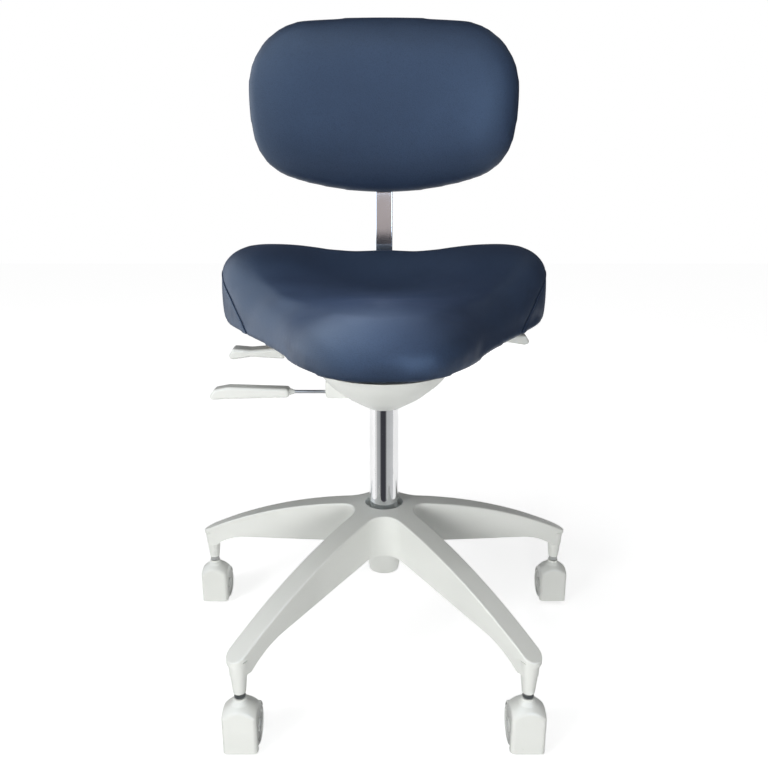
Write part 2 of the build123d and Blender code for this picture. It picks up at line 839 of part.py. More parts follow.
def seat_bolts():
    seat = -pan_thickness - plate_thickness
    bolt = rod(bolt_radius, seat, bolt_bite - pan_thickness)
    bolt += rod(bolt_head_radius, seat - bolt_head, seat)
    return seat_frame * Compound([Pos(x, y, 0) * bolt for x, y in seat_bolt_places()])


def seat_pivot_local():
    """The seat's pivot seen from the seat's own tilted frame."""
    point = seat_frame.inverse() * Pos(0, -seat_pivot_y, seat_pivot_z)
    return point.position.Y, point.position.Z


def lever_lugs(x, y):
    """Two ears under the plate that hold a lock lever's pin."""
    top = -pan_thickness - plate_thickness
    ears = Part()
    for side in (-1, 1):
        near = y + side * (lock_hub_width / 2 + seat_gap)
        far = near + side * lug_plate
        low, high = min(near, far), max(near, far)
        ears += block(x - lock_hub_radius, x + lock_hub_radius, low, high, -lock_lever_drop, top)
        ears += depth_rod(lock_hub_radius, low, high, x, -lock_lever_drop)
        ears -= depth_rod(pin_radius + press_play, low, high, x, -lock_lever_drop)
    return ears


def seat_plate():
    top = -pan_thickness
    pivot_y, pivot_z = seat_pivot_local()
    half_width = lock_lever_x + lock_hub_radius + plate_margin
    front = pivot_y - flange_half_length - plate_margin
    rear = back_lever_y + lock_hub_width / 2 + seat_gap + lug_plate + plate_margin
    plate = block(-half_width, half_width, front, rear, top - plate_thickness, top)
    inner = mech_half_width + flange_gap
    cheek_plate = block(inner, inner + flange_plate, pivot_y - flange_half_length,
                        pivot_y + flange_half_length, pivot_z, top - plate_thickness)
    cheek_plate += cross_rod(flange_nose, inner, inner + flange_plate, pivot_y, pivot_z)
    lower = block(inner, inner + flange_plate, pivot_y - flange_half_length,
                  pivot_y - flange_nose, pivot_z, pivot_z + flange_nose)
    cheek_plate -= lower + mirror(lower, about=Plane.XZ.offset(-pivot_y))
    cheek_plate -= cross_rod(seat_pivot_radius + press_play, inner, inner + flange_plate,
                             pivot_y, pivot_z)
    plate += both_sides(cheek_plate)
    plate += lever_lugs(-lock_lever_x, tilt_lever_y) + lever_lugs(lock_lever_x, back_lever_y)
    hole = rod(bolt_radius + press_play, top - plate_thickness, top)
    for x, y in seat_bolt_places():
        plate -= Pos(x, y, 0) * hole
    return seat_frame * plate


def seat_pivot_pin():
    end = mech_half_width + flange_gap + flange_plate
    return cross_rod(seat_pivot_radius, -end, end, -seat_pivot_y, seat_pivot_z)


def lever_pins():
    half = lock_hub_width / 2 + seat_gap + lug_plate
    left = depth_rod(pin_radius, tilt_lever_y - half, tilt_lever_y + half, -lock_lever_x,
                     -lock_lever_drop)
    right = depth_rod(pin_radius, back_lever_y - half, back_lever_y + half, lock_lever_x,
                      -lock_lever_drop)
    return seat_frame * Compound([left, right])


def lock_lever_rod(side, y):
    start = lock_lever_x - lock_tail
    bar = cross_rod(lock_rod_radius, start, lock_grip_start + grip_hold, y, -lock_lever_drop)
    half = lock_hub_width / 2
    bar += depth_rod(lock_hub_radius, y - half, y + half, lock_lever_x, -lock_lever_drop)
    bar -= depth_rod(pin_radius + running_play, y - half, y + half, lock_lever_x, -lock_lever_drop)
    return seat_frame * (bar if side > 0 else mirror(bar, about=Plane.YZ))


def lock_lever_grip(side, y):
    half = lock_grip_thickness / 2
    tip = lock_grip_start + lock_grip_length
    waist, shoulder = tip - lock_grip_waist_back, tip - lock_grip_shoulder
    outline = [(lock_grip_start, half + grip_swell), (waist, half - lock_grip_waist),
               (shoulder, half - grip_swell), (tip, 2 * grip_swell - half),
               (shoulder, -half - grip_swell), (waist, lock_grip_waist - half),
               (lock_grip_start, -half)]
    body = Pos(0, y, -lock_lever_drop) * soft_grip(outline, grip_corner, lock_grip_depth)
    body -= cross_rod(lock_rod_radius + press_play, lock_grip_start, lock_grip_start + grip_hold, y,
                      -lock_lever_drop)
    return seat_frame * (body if side > 0 else mirror(body, about=Plane.YZ))


# Back bar

def back_bar():
    start = recline_y + hinge_length - bar_socket
    half = bar_thickness / 2
    low, high = recline_z - half, recline_z + half
    centre = (bar_front - bar_bend + half, recline_z + bar_bend)
    inner, outer = bar_bend - half, bar_bend + half
    turn_in = CenterArc(centre, inner, -90, 90)
    turn_out = CenterArc(centre, outer, -90, 90)
    top = back_z + bar_above
    face = face_of(Line((start, high), turn_in @ 0), turn_in, Line(turn_in @ 1, (bar_front, top)),
                   Line((bar_front, top), (bar_back, top)), Line((bar_back, top), turn_out @ 1),
                   turn_out, Line(turn_out @ 0, (start, low)), Line((start, low), (start, high)))
    bar = extrude(Plane.YZ * face, bar_half_width, both=True)
    sides = bar.faces().filter_by(Axis.X)
    bar = fillet(sides.edges(), bar_round)
    for y in hinge_screw_places():
        bar -= Pos(0, y, 0) * rod(hinge_screw_radius + press_play, low, low + hinge_screw_bite)
    return bar


def hinge_screw_places():
    middle = recline_y + hinge_length - bar_socket / 2
    return [middle - hinge_screw_pitch / 2, middle + hinge_screw_pitch / 2]


def hinge_block():
    end = recline_y + hinge_length
    body = cross_rod(hinge_nose, -hinge_half_width, hinge_half_width, recline_y, recline_z)
    body += block(-hinge_half_width, hinge_half_width, recline_y, end, recline_z - hinge_nose,
                  recline_z + hinge_nose)
    body -= cross_rod(recline_pin_radius + running_play, -hinge_half_width, hinge_half_width,
                      recline_y, recline_z)
    half = bar_thickness / 2 + press_play
    body -= block(-bar_half_width - press_play, bar_half_width + press_play, end - bar_socket, end,
                  recline_z - half, recline_z + half)
    for y in hinge_screw_places():
        body -= Pos(0, y, 0) * rod(hinge_screw_radius + press_play, recline_z - hinge_nose, recline_z)
    return body


def hinge_screws():
    seat = recline_z - hinge_nose
    screw = rod(hinge_screw_radius, seat, recline_z - bar_thickness / 2 + hinge_screw_bite)
    screw += rod(hinge_screw_head_radius, seat - hinge_screw_head, seat)
    return Compound([Pos(0, y, 0) * screw for y in hinge_screw_places()])


# Backrest

def back_outline(inset):
    """The pad's outline, drawn in all round by inset, with bows and rounds in proportion."""
    half_w = back_half_width - inset
    half_h = back_half_height - inset
    share = half_h / back_half_height
    side = half_w - back_side_bow * share
    top, bottom = half_h - back_top_bow * share, back_bottom_bow * share - half_h
    face = face_of(ThreePointArc((-side, top), (0, half_h), (side, top)),
                   ThreePointArc((side, top), (half_w, 0), (side, bottom)),
                   ThreePointArc((side, bottom), (0, -half_h), (-side, bottom)),
                   ThreePointArc((-side, bottom), (-half_w, 0), (-side, top)))
    face = fillet(face.vertices().sort_by(Axis.Y)[2:], back_top_round * share)
    return fillet(face.vertices().sort_by(Axis.Y)[:2], back_bottom_round * share)


def back_plane(y):
    return Plane(origin=(0, y, back_z), x_dir=(1, 0, 0), z_dir=(0, -1, 0))


# The pad's sections from its rear face to its crown: share of the depth, share of the crown inset
pad_rows = [(0.00, 0.12), (0.20, 0.03), (0.42, 0.00), (0.56, 0.03), (0.70, 0.12), (0.82, 0.28),
            (0.91, 0.47), (0.97, 0.68), (1.00, 1.00)]


def back_cushion():
    sections = [back_plane(shell_front - share * back_depth) * back_outline(inset * back_crown_inset)
                for share, inset in pad_rows]
    return loft(sections, ruled=True)


def back_shell():
    body = extrude(back_plane(shell_back) * back_outline(shell_inset), shell_thickness)
    rear = body.faces().sort_by(Axis.Y)[-1]
    body = chamfer(rear.edges(), shell_bevel)
    start = hinge_lug_half + seat_gap
    ear = block(start, start + hinge_ear, shell_back, back_hinge_y, back_z - hinge_lug_radius,
                back_z + hinge_lug_radius)
    ear += cross_rod(hinge_lug_radius, start, start + hinge_ear, back_hinge_y, back_z)
    ear -= cross_rod(hinge_pin_radius + press_play, start, start + hinge_ear, back_hinge_y, back_z)
    body += both_sides(ear)
    for x, z in shell_screw_places():
        body -= depth_rod(shell_screw_radius + press_play, shell_front, shell_back, x, back_z + z)
    return body


def shell_screw_places():
    x = back_half_width - shell_screw_side
    z = back_half_height - shell_screw_end
    return [(-x, -z), (-x, z), (x, -z), (x, z)]


def shell_screws():
    screws = []
    for x, z in shell_screw_places():
        screw = depth_rod(shell_screw_radius, shell_front, shell_back, x, back_z + z)
        screw += depth_rod(shell_screw_head_radius, shell_back, shell_back + shell_screw_head, x,
                           back_z + z)
        screws.append(screw)
    return Compound(screws)


def back_hinge_pin():
    end = hinge_lug_half + seat_gap + hinge_ear
    return cross_rod(hinge_pin_radius, -end, end, back_hinge_y, back_z)


def back_carriage():
    rear = bar_back + carriage_back
    body = block(-carriage_half_width, carriage_half_width, carriage_front, rear,
                 back_z - carriage_half_height, back_z + carriage_half_height)
    body = fillet(body.edges().filter_by(Axis.Z), carriage_round)
    lug = block(-hinge_lug_half, hinge_lug_half, back_hinge_y, carriage_front,
                back_z - hinge_lug_radius, back_z + hinge_lug_radius)
    body += lug + cross_rod(hinge_lug_radius, -hinge_lug_half, hinge_lug_half, back_hinge_y, back_z)
    body -= cross_rod(hinge_pin_radius + running_play, -hinge_lug_half, hinge_lug_half,
                      back_hinge_y, back_z)
    slot = bar_half_width + running_play
    body -= block(-slot, slot, bar_front - running_play, bar_back + running_play,
                  back_z - carriage_half_height, back_z + carriage_half_height)
    return body - depth_rod(knob_stem_radius + running_play, bar_back, rear, 0, back_z)


def clamp_knob():
    rear = bar_back + carriage_back
    outline = Circle(knob_radius)
    for i in range(knob_lobes):
        outline -= Rot(0, 0, 360 / knob_lobes * i) * Pos(knob_radius + knob_scallop / 2, 0) * Circle(
            knob_scallop)
    head = fillet(extrude(outline, knob_height).faces().filter_by(Axis.Z).edges(), knob_round)
    knob = Pos(0, rear + loose_gap, back_z) * Rot(-90, 0, 0) * head
    return knob + depth_rod(knob_stem_radius, bar_back + seat_gap, rear + loose_gap + knob_height / 2,
                            0, back_z)


nodes = {}


def build_nodes():
    nodes["base_star"] = base_star()
    nodes["caster_stems"] = caster_stems()
    nodes["column_tube"] = column_tube()
    nodes["guide_bush"] = guide_bush()
    nodes["lower_bearing_washer"] = lower_bearing_washer()
    nodes["piston_rod"] = piston_rod()
    nodes["piston"] = piston()
    nodes["thrust_bearing"] = thrust_bearing()
    nodes["upper_bearing_washer"] = upper_bearing_washer()
    nodes["bump_stop"] = bump_stop()
    nodes["retaining_clip"] = retaining_clip()
    nodes["pressure_tube"] = pressure_tube()
    nodes["rod_guide"] = rod_guide()
    nodes["release_pin"] = release_pin()
    nodes["mechanism_body"] = mechanism_body()
    nodes["mechanism_pins"] = mechanism_pins()
    nodes["bowl_cover"] = bowl_cover()
    nodes["bowl_screws"] = bowl_screws()
    nodes["height_lever_rod"] = height_lever_rod()
    nodes["height_lever_grip"] = height_lever_grip()
    nodes["seat_plate"] = seat_plate()
    nodes["seat_pan"] = seat_pan()
    nodes["seat_cushion"] = seat_cushion()
    nodes["seat_bolts"] = seat_bolts()
    nodes["seat_pivot_pin"] = seat_pivot_pin()
    nodes["lever_pins"] = lever_pins()
    nodes["tilt_lever_rod"] = lock_lever_rod(-1, tilt_lever_y)
    nodes["tilt_lever_grip"] = lock_lever_grip(-1, tilt_lever_y)
    nodes["back_lever_rod"] = lock_lever_rod(1, back_lever_y)
    nodes["back_lever_grip"] = lock_lever_grip(1, back_lever_y)
    nodes["back_bar"] = back_bar()
    nodes["hinge_block"] = hinge_block()
    nodes["hinge_screws"] = hinge_screws()
    nodes["back_carriage"] = back_carriage()
    nodes["clamp_knob"] = clamp_knob()
    nodes["back_shell"] = back_shell()
    nodes["back_cushion"] = back_cushion()
    nodes["back_hinge_pin"] = back_hinge_pin()
    nodes["shell_screws"] = shell_screws()
    for name, angle in zip(caster_names, arm_angles):
        place = caster_place(angle)
        nodes["caster_hood_" + name] = place * caster_hood()
        nodes["caster_axle_" + name] = place * caster_axle()
        nodes["caster_wheel_a_" + name] = place * caster_wheel(-1)
        nodes["caster_wheel_b_" + name] = place * caster_wheel(1)


build_nodes()
os.makedirs("parts", exist_ok=True)
for name, shape in nodes.items():
    export_step(shape, os.path.join("parts", name + ".step"))
print(len(nodes), "nodes written")
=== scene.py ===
# %% [markdown]
# # Dressing a saddle stool
# The frame below holds every solid of the stool: base, casters, gas lift, levers, seat and backrest.
# In this lesson the hard pieces keep their solids and get real finishes, and the soft ones are sewn
# and filled here, because foam under leatherette is a shape that swells and no plain solid has it.

# %% Load the frame
import json
import math
import bpy
import numpy as np
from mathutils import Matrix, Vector


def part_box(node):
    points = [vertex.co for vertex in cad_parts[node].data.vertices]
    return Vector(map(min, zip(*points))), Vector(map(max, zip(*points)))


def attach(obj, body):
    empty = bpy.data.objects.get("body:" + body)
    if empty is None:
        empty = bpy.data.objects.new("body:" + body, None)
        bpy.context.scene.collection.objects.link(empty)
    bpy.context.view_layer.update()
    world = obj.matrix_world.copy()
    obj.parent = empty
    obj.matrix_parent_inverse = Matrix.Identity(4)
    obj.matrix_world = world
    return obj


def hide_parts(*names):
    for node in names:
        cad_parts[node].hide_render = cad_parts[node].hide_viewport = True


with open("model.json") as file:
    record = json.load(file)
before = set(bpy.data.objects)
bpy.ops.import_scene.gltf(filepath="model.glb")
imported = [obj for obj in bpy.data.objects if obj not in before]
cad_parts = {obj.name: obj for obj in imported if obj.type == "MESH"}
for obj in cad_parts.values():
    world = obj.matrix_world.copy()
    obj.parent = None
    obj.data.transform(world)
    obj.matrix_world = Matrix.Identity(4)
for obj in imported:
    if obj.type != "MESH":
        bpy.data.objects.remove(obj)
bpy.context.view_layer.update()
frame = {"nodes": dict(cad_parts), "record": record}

nodes = frame["nodes"]

# %% [markdown]
# ## Working by hand in code
# Operators act on whatever is selected, so each step first selects one object and nothing else.
# These helpers stand for what the mouse does: pick an object, enter edit mode, leave it. The last few read
# and set a mesh's points as an array, which is how a whole surface is measured or moved at once.

# %% Picking and editing helpers
def pick(piece):
    """Select one object, and nothing else."""
    bpy.ops.object.select_all(action="DESELECT")
    piece.select_set(True)
    bpy.context.view_layer.objects.active = piece


def edit(piece, mode="VERT"):
    """Enter edit mode on one object with everything selected."""
    pick(piece)
    bpy.ops.object.mode_set(mode="EDIT")
    bpy.ops.mesh.select_mode(type=mode)
    bpy.ops.mesh.select_all(action="SELECT")


def leave():
    bpy.ops.object.mode_set(mode="OBJECT")


def apply_modifiers(piece):
    pick(piece)
    for modifier in list(piece.modifiers):
        bpy.ops.object.modifier_apply(modifier=modifier.name)


def points_of(piece):
    """The mesh's points as an array, one row each."""
    flat = np.zeros(len(piece.data.vertices) * 3)
    piece.data.vertices.foreach_get("co", flat)
    return flat.reshape(-1, 3)


def set_points(piece, points):
    piece.data.vertices.foreach_set("co", np.ascontiguousarray(points).ravel())
    piece.data.update()


def normals_of(piece):
    flat = np.zeros(len(piece.data.vertices) * 3)
    piece.data.vertices.foreach_get("normal", flat)
    return flat.reshape(-1, 3)


def copy_of_solid(node, name):
    """A new object with a merged copy of a solid's mesh."""
    piece = bpy.data.objects.new(name, nodes[node].data.copy())
    piece.data.materials.clear()
    bpy.context.scene.collection.objects.link(piece)
    edit(piece)
    bpy.ops.mesh.remove_doubles(threshold=0.00002)
    leave()
    return piece

# %% [markdown]
# ## The camera
# The stool was photographed from just above the seat, a little under a metre in front of the column.
# A lens of about 33 mm on a 36 mm sensor gives the same perspective: the near casters look large and
# the backrest is seen nearly square on.

# %% Place the camera
lens_length = 32.58
sensor_width = 36.0
camera_place = (0.0, -0.902, 0.621)
camera_tilt = math.radians(75.02)
camera_data = bpy.data.cameras.new("studio_camera")
camera_data.lens = lens_length
camera_data.sensor_width = sensor_width
camera = bpy.data.objects.new("studio_camera", camera_data)
bpy.context.scene.collection.objects.link(camera)
camera.location = camera_place
camera.rotation_euler = (camera_tilt, 0.0, 0.0)
bpy.context.scene.camera = camera
bpy.context.scene.view_settings.view_transform = "Standard"
print("camera", tuple(round(v, 3) for v in camera.location))

# %% [markdown]
# ## Node helpers
# A finish is a small tree of nodes. To keep each one readable, a helper adds a node, sets its inputs
# and links what has to be linked, so a finish reads as a list of steps from pattern to shader.

# %% Node helpers
def add_node(tree, kind, links=None, **values):
    """Add a node; values set its properties or inputs, links join other sockets to its inputs."""
    node = tree.nodes.new("ShaderNode" + kind)
    for key, value in values.items():
        name = key.replace("_", " ").title() if key.replace("_", " ").title() in node.inputs else key
        if name in node.inputs:
            node.inputs[name].default_value = value
        else:
            setattr(node, key, value)
    for name, socket in (links or {}).items():
        tree.links.new(socket, node.inputs[name])
    return node


def new_finish(name):
    """A material with its tree, its shader and the object's own coordinates."""
    material = bpy.data.materials.new(name)
    material.use_nodes = True
    tree = material.node_tree
    shader = tree.nodes["Principled BSDF"]
    place = tree.nodes.new("ShaderNodeTexCoord").outputs["Object"]
    return material, tree, shader, place


def ramp(tree, factor, stops):
    """A colour ramp through (position, colour) stops."""
    node = tree.nodes.new("ShaderNodeValToRGB")
    elements = node.color_ramp.elements
    while len(elements) < len(stops):
        elements.new(0.5)
    for element, (position, colour) in zip(elements, stops):
        element.position = position
        element.color = (*colour, 1.0)
    tree.links.new(factor, node.inputs["Fac"])
    return node.outputs["Color"]


def span(tree, value, low, high):
    """Map 0..1 to low..high."""
    node = add_node(tree, "MapRange", {"Value": value})
    node.inputs["To Min"].default_value = low
    node.inputs["To Max"].default_value = high
    return node.outputs["Result"]


def noise(tree, place, scale, detail=3.0, roughness=0.5):
    node = add_node(tree, "TexNoise", {"Vector": place}, Scale=scale, Detail=detail, Roughness=roughness)
    return node.outputs["Fac"]


def bump(tree, shader, height, distance, strength=1.0, under=None):
    """Raise the shader's normal by a height pattern; under is a bump it goes on top of."""
    node = add_node(tree, "Bump", {"Height": height}, Distance=distance, Strength=strength)
    if under is not None:
        tree.links.new(under, node.inputs["Normal"])
    tree.links.new(node.outputs["Normal"], shader.inputs["Normal"])
    return node.outputs["Normal"]


def stretched(tree, place, scale):
    """Coordinates scaled differently along each axis, for grain that runs one way."""
    node = add_node(tree, "Mapping", {"Vector": place})
    node.inputs["Scale"].default_value = scale
    return node.outputs["Vector"]

# %% [markdown]
# ## Navy leatherette
# Upholstery vinyl is a thin coloured skin pressed with a pebble grain about a millimetre across.
# The cells of a Voronoi pattern, pushed about by noise so no two look alike, are that grain; a second,
# finer noise is the pores. Colour and gloss drift slowly across the skin, as they do where it stretches.

# %% Make the leatherette
leatherette, tree, shader, place = new_finish("navy_leatherette")
drift = noise(tree, place, 7.0, 4.0)
wander = add_node(tree, "TexNoise", {"Vector": place}, Scale=420.0, Detail=2.0)
pushed = add_node(tree, "MixRGB", {"Color1": place, "Color2": wander.outputs["Color"]}, blend_type="ADD")
pushed.inputs["Fac"].default_value = 0.0012
pebble = add_node(tree, "TexVoronoi", {"Vector": pushed.outputs["Color"]}, feature="SMOOTH_F1", Scale=820.0)
pores = noise(tree, place, 2600.0, 2.0)
deep_navy = (0.017, 0.028, 0.056)
navy = (0.020, 0.033, 0.065)
pale_navy = (0.024, 0.039, 0.076)
skin = ramp(tree, drift, [(0.3, deep_navy), (0.55, navy), (0.75, pale_navy)])
# painted shade: the colour darkens towards each grain cell's edge, as shade lying in the grain's valleys
painted_valley_shade = ramp(tree, pebble.outputs["Distance"], [(0.25, (1.0, 1.0, 1.0)), (0.75, (0.72, 0.72, 0.74))])
toned = add_node(tree, "MixRGB", {"Color1": skin, "Color2": painted_valley_shade}, blend_type="MULTIPLY", Fac=1.0)
tree.links.new(toned.outputs["Color"], shader.inputs["Base Color"])
tree.links.new(span(tree, noise(tree, place, 34.0, 4.0), 0.40, 0.54), shader.inputs["Roughness"])
grain = bump(tree, shader, pebble.outputs["Distance"], -0.00016, 0.8)
bump(tree, shader, pores, 0.00004, 0.5, grain)
shader.inputs["Specular IOR Level"].default_value = 0.5
shader.inputs["Specular Tint"].default_value = (0.68, 0.84, 1.0, 1.0)
shader.inputs["Sheen Weight"].default_value = 0.04
shader.inputs["Sheen Roughness"].default_value = 0.45
shader.inputs["Sheen Tint"].default_value = (0.45, 0.60, 1.0, 1.0)
print("finish:", leatherette.name, len(tree.nodes), "nodes")

# %% [markdown]
# ## White mouldings
# The base, the bowl and the grips are injection-moulded nylon: an off-white that leans to green-grey,
# a fine sparked texture from the mould, and faint flow marks. Scuffs gather low down, near the floor,
# so a height ramp lets a few grey marks through on the base and none on the bowl.

# %% Make the white moulding and the caster nylon
def moulded(name, pale, deep, gloss, scuffed):
    material, tree, shader, place = new_finish(name)
    flow = noise(tree, stretched(tree, place, (5.0, 5.0, 16.0)), 1.0, 4.0)
    body = ramp(tree, flow, [(0.3, deep), (0.7, pale)])
    specks = noise(tree, place, 130.0, 6.0, 0.7)
    marks = ramp(tree, specks, [(0.66, (1.0, 1.0, 1.0)), (0.74, (0.84, 0.83, 0.80))])
    height = add_node(tree, "SeparateXYZ", {"Vector": place}).outputs["Z"]
    low = add_node(tree, "MapRange", {"Value": height})
    low.inputs["From Min"].default_value = 0.03
    low.inputs["From Max"].default_value = 0.20
    low.inputs["To Min"].default_value = scuffed
    low.inputs["To Max"].default_value = 0.0
    worn = add_node(tree, "MixRGB", {"Fac": low.outputs["Result"], "Color1": body, "Color2": marks},
                    blend_type="MULTIPLY")
    tree.links.new(worn.outputs["Color"], shader.inputs["Base Color"])
    tree.links.new(span(tree, noise(tree, place, 60.0, 4.0), *gloss), shader.inputs["Roughness"])
    spark = noise(tree, place, 1500.0, 2.0)
    peel = bump(tree, shader, noise(tree, place, 240.0, 2.0), 0.0001, 0.25)
    bump(tree, shader, spark, 0.00004, 0.5, peel)
    print("finish:", name, len(tree.nodes), "nodes")
    return material


white_moulding = moulded("white_moulding", (0.775, 0.79, 0.755), (0.735, 0.75, 0.715), (0.30, 0.42), 0.8)
caster_nylon = moulded("caster_wheel", (0.70, 0.71, 0.685), (0.64, 0.65, 0.625), (0.38, 0.52), 1.0)

# %% [markdown]
# ## Metals
# Polished chrome is nearly a mirror, but never a perfect one: a slow waviness bends its reflections and
# faint wipe marks change its gloss. Turned steel carries rings and lines, and cast aluminium a pebbled skin.

# %% Make the metals
def metal(name, colour, gloss, grain_scale, grain_depth, wave_depth):
    material, tree, shader, place = new_finish(name)
    shader.inputs["Metallic"].default_value = 1.0
    tone = noise(tree, place, 22.0, 4.0)
    dull = tuple(0.93 * c for c in colour)
    tree.links.new(ramp(tree, tone, [(0.35, dull), (0.65, colour)]), shader.inputs["Base Color"])
    wipes = noise(tree, stretched(tree, place, grain_scale), 1.0, 4.0)
    tree.links.new(span(tree, wipes, *gloss), shader.inputs["Roughness"])
    slow = bump(tree, shader, noise(tree, place, 16.0, 1.0), wave_depth, 0.4)
    bump(tree, shader, wipes, grain_depth, 0.5, slow)
    print("finish:", name, len(tree.nodes), "nodes")
    return material


chrome = metal("chrome", (0.80, 0.805, 0.81), (0.05, 0.10), (300.0, 300.0, 25.0), 0.000004, 0.0001)
steel = metal("steel", (0.60, 0.605, 0.61), (0.26, 0.40), (60.0, 900.0, 900.0), 0.00003, 0.00005)
cast_aluminium = metal("cast_aluminium", (0.62, 0.63, 0.64), (0.42, 0.58), (420.0, 420.0, 420.0),
                       0.0002, 0.0001)

# %% [markdown]
# ## Dark parts and wood
# The seat plate is powder-coated, which dries with a fine pebble; the guide bush and clamp knob are black
# plastic; the bump stop is rubber; and the pan under the foam is plywood, whose plies show as thin stripes
# along every edge because each sheet is turned a quarter from the next, coloured very dark as painted shade
# under the seat's edge. The caster stems are zinc-plated, and coloured darker than the other steel as painted
# shade in the short gap between socket and hood.

# %% Make the dark parts and the plywood
def pebbled(name, colour, gloss, scale, depth):
    material, tree, shader, place = new_finish(name)
    dark = tuple(0.75 * c for c in colour)
    light = tuple(1.2 * c for c in colour)
    mottle = ramp(tree, noise(tree, place, 30.0, 5.0), [(0.35, dark), (0.7, light)])
    tree.links.new(mottle, shader.inputs["Base Color"])
    tree.links.new(span(tree, noise(tree, place, 90.0, 3.0), *gloss), shader.inputs["Roughness"])
    bump(tree, shader, noise(tree, place, scale, 2.0), depth, 0.6)
    print("finish:", name, len(tree.nodes), "nodes")
    return material


black_plate = pebbled("black_plate", (0.022, 0.022, 0.024), (0.36, 0.5), 900.0, 0.00015)
black_plastic = pebbled("black_plastic", (0.018, 0.018, 0.020), (0.42, 0.56), 1400.0, 0.0001)
bump_rubber = pebbled("bump_rubber", (0.014, 0.014, 0.014), (0.7, 0.85), 700.0, 0.0002)

# painted shade: the caster stems' steel is coloured darker than the other steel, for the shade in the short
# gap between socket and hood
stem_steel_painted_shade = metal("stem_steel_painted_shade", (0.36, 0.37, 0.36), (0.34, 0.5), (200.0, 200.0, 900.0),
                    0.00002, 0.00004)

plywood, tree, shader, place = new_finish("plywood")
figure = noise(tree, stretched(tree, place, (14.0, 160.0, 160.0)), 1.0, 5.0)
# painted shade: the wood colours are kept very dark so the pan's edge reads as a shadow line under the seat
late_wood = (0.050, 0.036, 0.026)
painted_shade_wood = (0.075, 0.055, 0.040)
early_wood = (0.095, 0.072, 0.054)
beech = ramp(tree, figure, [(0.3, late_wood), (0.6, painted_shade_wood), (0.8, early_wood)])
plies = add_node(tree, "TexWave", {"Vector": place}, wave_type="BANDS", bands_direction="Z", Scale=95.0)
layers = ramp(tree, plies.outputs["Fac"], [(0.4, (0.78, 0.72, 0.66)), (0.6, (1.0, 1.0, 1.0))])
sawn = add_node(tree, "MixRGB", {"Color1": beech, "Color2": layers}, blend_type="MULTIPLY", Fac=0.7)
tree.links.new(sawn.outputs["Color"], shader.inputs["Base Color"])
tree.links.new(span(tree, figure, 0.55, 0.75), shader.inputs["Roughness"])
bump(tree, shader, figure, 0.0002, 0.5)
print("finish:", plywood.name, len(tree.nodes), "nodes")

# %% [markdown]
# ## Giving each solid its finish
# The record says which material slot each solid belongs to, so one loop dresses them all.

# %% Dress the solids
finishes = {
    "navy_leatherette": leatherette,
    "white_moulding": white_moulding,
    "caster_wheel": caster_nylon,
    "chrome": chrome,
    "steel": steel,
    "cast_aluminium": cast_aluminium,
    "black_plate": black_plate,
    "plywood": plywood,
    "black_plastic": black_plastic,
    "bump_rubber": bump_rubber,
}
for part in frame["record"]["subparts"]:
    solid = nodes[part["node"]]
    solid.data.materials.clear()
    solid.data.materials.append(finishes[part["material_slot"]])
# the caster stems take the darker steel, as painted shade
nodes["caster_stems"].data.materials[0] = stem_steel_painted_shade

# %% [markdown]
# ## Filling a cushion
# A cushion is foam pressed into a sewn cover, so its skin is tight and a little swollen. The recipe:
# copy the solid, rebuild its surface as even squares, then let cloth with air pressure swell it. A stiff
# cloth stays taut and does not pucker. How far any point may travel is capped, which keeps the maker's
# shape, and the points on the glued underside are held still.

# %% The filling helper
def relax(piece, rounds, factor=0.5):
    """Even out a surface, as foam does under a tight cover."""
    soften = piece.modifiers.new("soften", "SMOOTH")
    soften.factor = factor
    soften.iterations = rounds
    apply_modifiers(piece)


swell_frames = 20


def fill_cushion(node, name, voxel, pressure, reach, held):
    """Swell a copy of a solid's mesh; held(normals) says which points stay put."""
    cushion = copy_of_solid(node, name)
    cushion.data.remesh_voxel_size = voxel
    cushion.data.use_remesh_preserve_volume = True
    pick(cushion)
    bpy.ops.object.voxel_remesh()
    relax(cushion, 8)
    start = points_of(cushion)
    facing = normals_of(cushion)
    glued = held(facing)
    group = cushion.vertex_groups.new(name="glued")
    group.add([int(i) for i in np.nonzero(glued)[0]], 1.0, "ADD")
    cloth = cushion.modifiers.new("filling", "CLOTH")
    cloth.settings.quality = 5
    cloth.settings.bending_stiffness = 5.0
    cloth.settings.use_pressure = True
    cloth.settings.uniform_pressure_force = pressure
    cloth.settings.vertex_group_mass = "glued"
    cloth.settings.effector_weights.gravity = 0.0
    cloth.point_cache.frame_start = 1
    cloth.point_cache.frame_end = swell_frames
    for step in range(1, swell_frames + 1):
        bpy.context.scene.frame_set(step)
    pick(cushion)
    bpy.ops.object.modifier_apply(modifier="filling")
    cushion.vertex_groups.clear()
    travel = points_of(cushion) - start
    far = np.linalg.norm(travel, axis=1)
    outward = (travel * facing).sum(axis=1)
    travel *= np.minimum(1.0, reach / np.maximum(far, 1e-9))[:, None]
    set_points(cushion, start + travel)
    swelling = 1000.0 * np.percentile(outward, (0, 50, 100))
    print(name, "swells by", [round(float(v), 1) for v in swelling], "mm")
    relax(cushion, 10)
    finer = cushion.modifiers.new("finer", "SUBSURF")
    finer.levels = 1
    finer.render_levels = 1
    apply_modifiers(cushion)
    pick(cushion)
    bpy.ops.object.shade_smooth()
    return cushion

# %% [markdown]
# ## The saddle
# The rider sits on a saddle: two wings for the thighs, a raised pommel between them in front and a cantle
# behind. Its underside is stapled to the pan, so everything that faces down is held and the top swells.

# %% Fill the saddle
saddle = fill_cushion("seat_cushion", "saddle_pad", voxel=0.005, pressure=4.0, reach=0.006,
                      held=lambda facing: facing[:, 2] < -0.75)
saddle.data.materials.append(leatherette)
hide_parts("seat_cushion")
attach(saddle, "seat")
print("saddle faces:", len(saddle.data.polygons))

